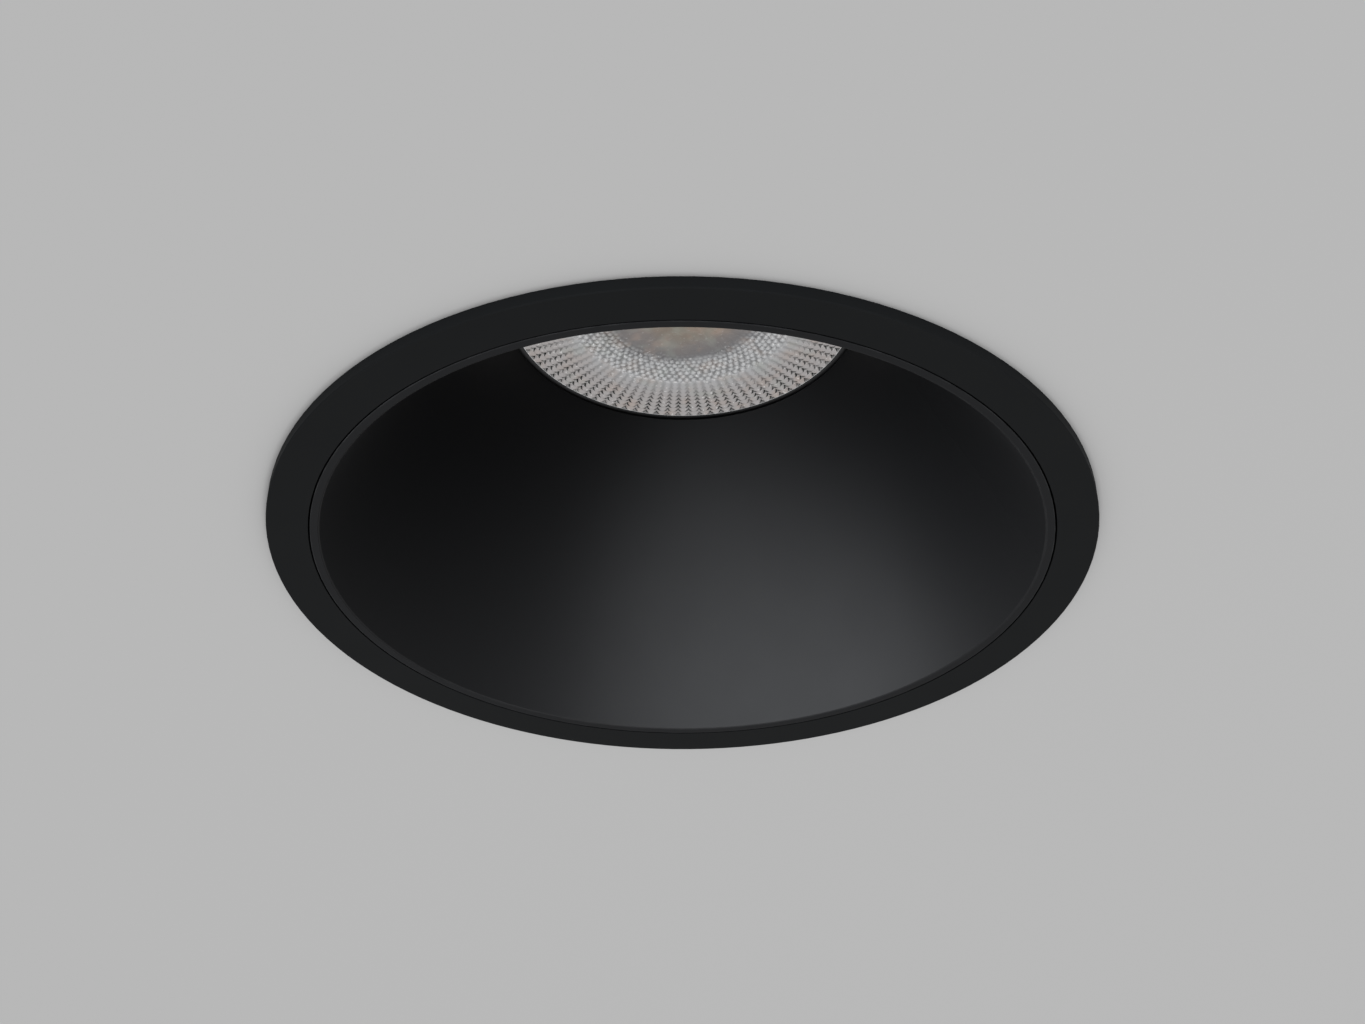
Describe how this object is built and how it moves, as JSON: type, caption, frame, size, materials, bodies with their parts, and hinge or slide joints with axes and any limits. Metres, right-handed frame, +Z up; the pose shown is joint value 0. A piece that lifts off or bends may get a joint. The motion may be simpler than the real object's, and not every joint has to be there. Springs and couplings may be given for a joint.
{
  "type": "soffit downlight",
  "caption": "Round recessed soffit downlight: black flange, deep anti-glare cone, faceted lens, finned heat sink, cable gland and hinged spring clips.",
  "frame": {"origin": "centre of the collar in the plane of the soffit, level with the flange's back face", "axes": "+Z up along the light's axis into the ceiling cavity, +Y towards the first spring clip; light shines towards -Z"},
  "size_m": [0.1638, 0.1467, 0.1175],
  "materials": {
    "frame_paint": "satin black powder coat",
    "cone_paint": "smooth satin black",
    "gasket_foam": "closed-cell foam rubber",
    "seal_silicone": "grey silicone rubber",
    "lens_acrylic": "clear moulded acrylic with a faceted face",
    "retainer_plastic": "black moulded plastic",
    "holder_plastic": "white moulded plastic",
    "board_white": "white-coated aluminium board",
    "phosphor_yellow": "silicone filled with yellow phosphor",
    "pad_grey": "heat-conducting pad",
    "heat_sink_metal": "dark anodised cast aluminium",
    "cover_metal": "dark anodised turned aluminium",
    "screw_steel": "stainless steel",
    "spring_steel": "bright spring steel",
    "bracket_steel": "zinc-plated steel",
    "sleeve_rubber": "black rubber",
    "lead_red": "red insulation",
    "lead_black": "black insulation",
    "grommet_rubber": "black rubber",
    "terminal_plastic": "pale grey moulded plastic",
    "terminal_brass": "machined brass",
    "gland_plastic": "black moulded nylon",
    "gland_rubber": "black rubber"
  },
  "bodies": {
    "root": {"trim_frame": "frame_paint", "soffit_gasket": "gasket_foam", "reflector_cone": "cone_paint", "cone_seal": "seal_silicone", "lens_seal": "seal_silicone", "optic_lens": "lens_acrylic", "lens_retainer": "retainer_plastic", "led_board": "board_white", "thermal_pad": "pad_grey", "led_phosphor": "phosphor_yellow", "led_holder": "holder_plastic", "heat_sink": "heat_sink_metal", "lead_positive": "lead_red", "lead_negative": "lead_black", "lead_grommets": "grommet_rubber", "terminal_block": "terminal_plastic", "terminal_inserts": "terminal_brass", "terminal_screws": "screw_steel", "rear_cover": "cover_metal", "cover_seal": "seal_silicone", "gland_body": "gland_plastic", "gland_washer": "gland_rubber", "gland_seal": "gland_rubber", "gland_locknut": "gland_plastic", "gland_cap": "gland_plastic", "body_screws": "screw_steel", "retainer_screws": "screw_steel", "holder_screws": "screw_steel", "cover_screws": "screw_steel", "block_screw": "screw_steel", "bracket_screws": "screw_steel", "clip_bracket_1": "bracket_steel", "clip_pin_1": "screw_steel", "clip_spring_1": "spring_steel", "clip_bracket_2": "bracket_steel", "clip_pin_2": "screw_steel", "clip_spring_2": "spring_steel", "clip_bracket_3": "bracket_steel", "clip_pin_3": "screw_steel", "clip_spring_3": "spring_steel"},
    "clip_1": {"clip_blade_1": "spring_steel", "clip_sleeve_1": "sleeve_rubber"},
    "clip_2": {"clip_blade_2": "spring_steel", "clip_sleeve_2": "sleeve_rubber"},
    "clip_3": {"clip_blade_3": "spring_steel", "clip_sleeve_3": "sleeve_rubber"}
  },
  "joints": [
    {"name": "clip_hinge_1", "type": "hinge", "parent": "root", "child": "clip_1", "pos_m": [0, 0.0462, 0.01348], "axis": [1, 0, 0], "range_deg": [0, 100], "stiffness_Nm_per_rad": 0.12, "springref_deg": -34.38, "deforming": ["clip_spring_1"]},
    {"name": "clip_hinge_2", "type": "hinge", "parent": "root", "child": "clip_2", "pos_m": [-0.04001, -0.0231, 0.01348], "axis": [-0.5, 0.866, 0], "range_deg": [0, 100], "stiffness_Nm_per_rad": 0.12, "springref_deg": -34.38, "deforming": ["clip_spring_2"]},
    {"name": "clip_hinge_3", "type": "hinge", "parent": "root", "child": "clip_3", "pos_m": [0.04001, -0.0231, 0.01348], "axis": [-0.5, -0.866, 0], "range_deg": [0, 100], "stiffness_Nm_per_rad": 0.12, "springref_deg": -34.38, "deforming": ["clip_spring_3"]}
  ]
}
